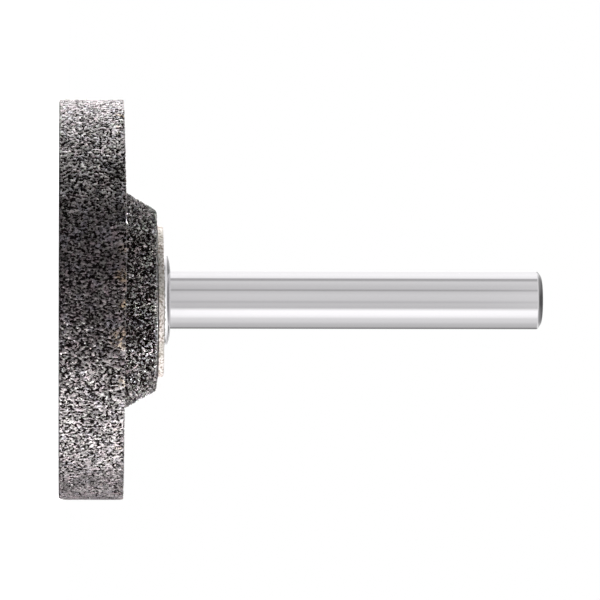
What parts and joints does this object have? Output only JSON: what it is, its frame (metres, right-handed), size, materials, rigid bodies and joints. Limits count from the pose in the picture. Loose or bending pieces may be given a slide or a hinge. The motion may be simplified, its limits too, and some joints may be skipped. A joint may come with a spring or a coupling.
{
  "type": "cylindrical mounted point",
  "caption": "Flat cylindrical abrasive wheel with a conical boss, cemented to a plain round steel shank for a collet or chuck.",
  "frame": {"origin": "centre of the wheel's flat grinding face, on which the tool stands", "axes": "+Z along the shank, from the grinding face through the boss to the shank's free end; X and Y across the wheel"},
  "size_m": [0.0414, 0.0414, 0.0503],
  "materials": {
    "abrasive": "matte",
    "ground_steel": "satin",
    "fibre": "matte",
    "pressed_steel": "satin",
    "cement": "matte"
  },
  "bodies": {
    "root": {"abrasive_wheel": "abrasive", "shank": "ground_steel", "blotter": "fibre", "collar": "pressed_steel", "bonding_cement": "cement"}
  },
  "joints": []
}
